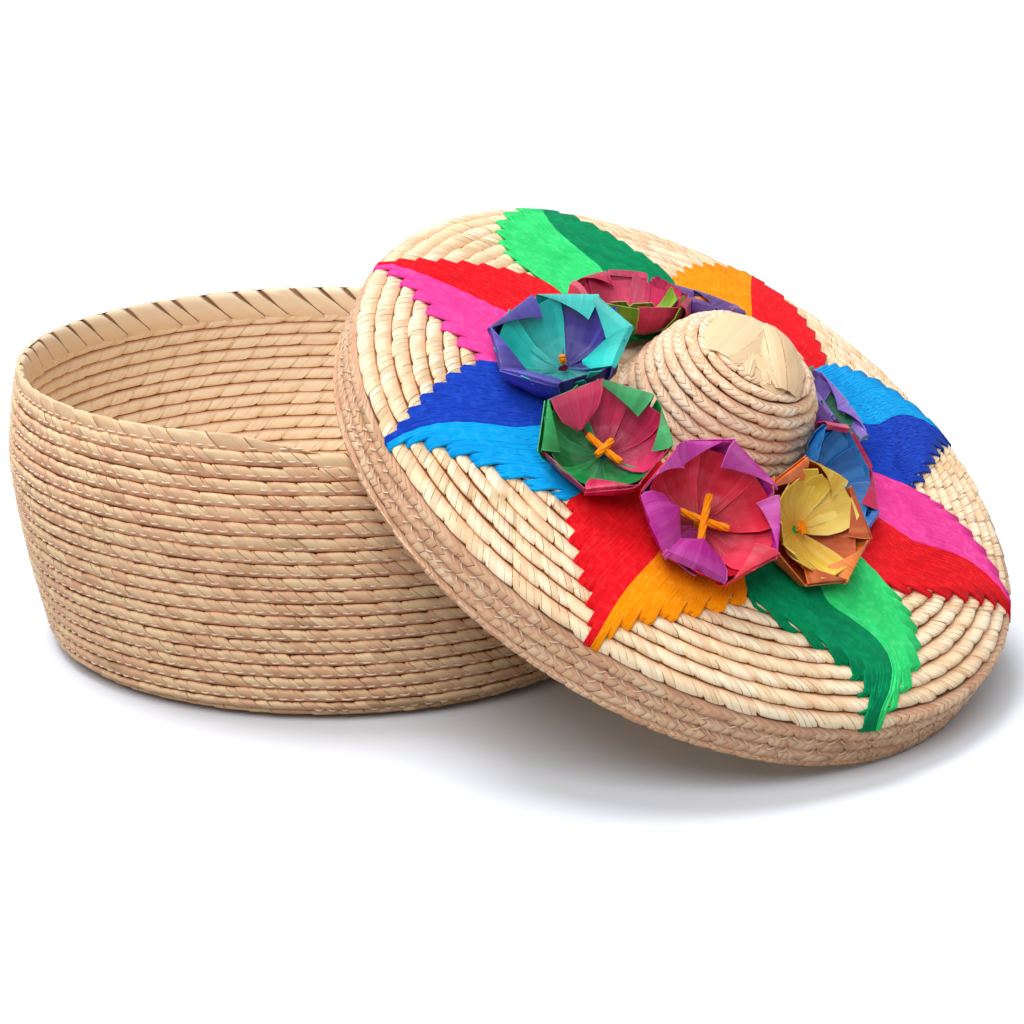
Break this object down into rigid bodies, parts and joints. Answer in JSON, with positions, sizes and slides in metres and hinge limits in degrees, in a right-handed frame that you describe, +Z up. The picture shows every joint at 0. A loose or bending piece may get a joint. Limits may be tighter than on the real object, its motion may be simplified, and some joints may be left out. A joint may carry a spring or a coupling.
{
  "type": "tortilla warmer",
  "caption": "Round palm-braid basket with a wide hat-shaped lid that leans on its rim, embroidered with two-colour yarn blades and ringed with folded ribbon flowers around the crown.",
  "frame": {"origin": "centre of the basket's flat underside", "axes": "+Z up, +X towards the side that the lid leans on, +Y away from the side where the basket's last turn ends"},
  "size_m": [0.3683, 0.3122, 0.1587],
  "materials": {
    "palm_outside": "matt dried palm leaf braid, sewn in lapped rows",
    "palm_lid": "matt cream palm leaf braid in herringbone, sewn in lapped rows",
    "palm_strip": "smooth folded palm strip, satin",
    "yarn_red": "soft acrylic yarn laid side by side",
    "yarn_pink": "soft acrylic yarn laid side by side",
    "yarn_blue": "soft acrylic yarn laid side by side",
    "yarn_sky": "soft acrylic yarn laid side by side",
    "yarn_orange": "soft acrylic yarn laid side by side",
    "yarn_green": "soft acrylic yarn laid side by side",
    "yarn_mint": "soft acrylic yarn laid side by side",
    "yarn_tie": "soft acrylic yarn",
    "ribbon_deep_green": "glossy satin ribbon, folded",
    "ribbon_leaf_green": "glossy satin ribbon, folded",
    "ribbon_teal": "glossy satin ribbon, folded",
    "ribbon_azure": "glossy satin ribbon, folded",
    "ribbon_indigo": "glossy satin ribbon, folded",
    "ribbon_purple": "glossy satin ribbon, folded",
    "ribbon_lime": "glossy satin ribbon, folded",
    "ribbon_lilac": "glossy satin ribbon, folded",
    "ribbon_crimson": "glossy satin ribbon, folded",
    "ribbon_magenta": "glossy satin ribbon, folded",
    "ribbon_scarlet": "glossy satin ribbon, folded",
    "ribbon_tangerine": "glossy satin ribbon, folded",
    "ribbon_gold": "glossy satin ribbon, folded"
  },
  "bodies": {
    "basket": {"basket_base": "palm_outside", "basket_wall": "palm_outside", "basket_last_turn": "palm_strip"},
    "lid": {"lid_knot": "palm_strip", "lid_crown": "palm_lid", "lid_brim": "palm_lid", "lid_skirt": "palm_outside", "lid_edge": "palm_strip", "yarn_1_red": "yarn_red", "yarn_1_pink": "yarn_pink", "yarn_2_blue": "yarn_blue", "yarn_2_sky": "yarn_sky", "yarn_3_red": "yarn_red", "yarn_3_orange": "yarn_orange", "yarn_4_green": "yarn_green", "yarn_4_mint": "yarn_mint", "yarn_5_red": "yarn_red", "yarn_5_pink": "yarn_pink", "yarn_6_blue": "yarn_blue", "yarn_6_sky": "yarn_sky", "yarn_7_red": "yarn_red", "yarn_7_orange": "yarn_orange", "yarn_8_green": "yarn_green", "yarn_8_mint": "yarn_mint", "flower_1_cup": "ribbon_indigo", "flower_1_petals": "ribbon_teal", "flower_1_tie": "yarn_tie", "flower_2_cup": "ribbon_leaf_green", "flower_2_petals": "ribbon_crimson", "flower_2_tie": "yarn_tie", "flower_3_cup": "ribbon_magenta", "flower_3_petals": "ribbon_scarlet", "flower_3_tie": "yarn_tie", "flower_4_cup": "ribbon_tangerine", "flower_4_petals": "ribbon_gold", "flower_4_tie": "yarn_tie", "flower_5_cup": "ribbon_azure", "flower_5_petals": "ribbon_crimson", "flower_5_tie": "yarn_tie", "flower_6_cup": "ribbon_lilac", "flower_6_petals": "ribbon_deep_green", "flower_6_tie": "yarn_tie", "flower_7_cup": "ribbon_purple", "flower_7_petals": "ribbon_tangerine", "flower_7_tie": "yarn_tie", "flower_8_cup": "ribbon_crimson", "flower_8_petals": "ribbon_lime", "flower_8_tie": "yarn_tie"}
  },
  "joints": [
    {"name": "lid_lift", "type": "slide", "parent": "basket", "child": "lid", "axis": [0, 0, 1], "range_m": [0, 0.14]}
  ]
}
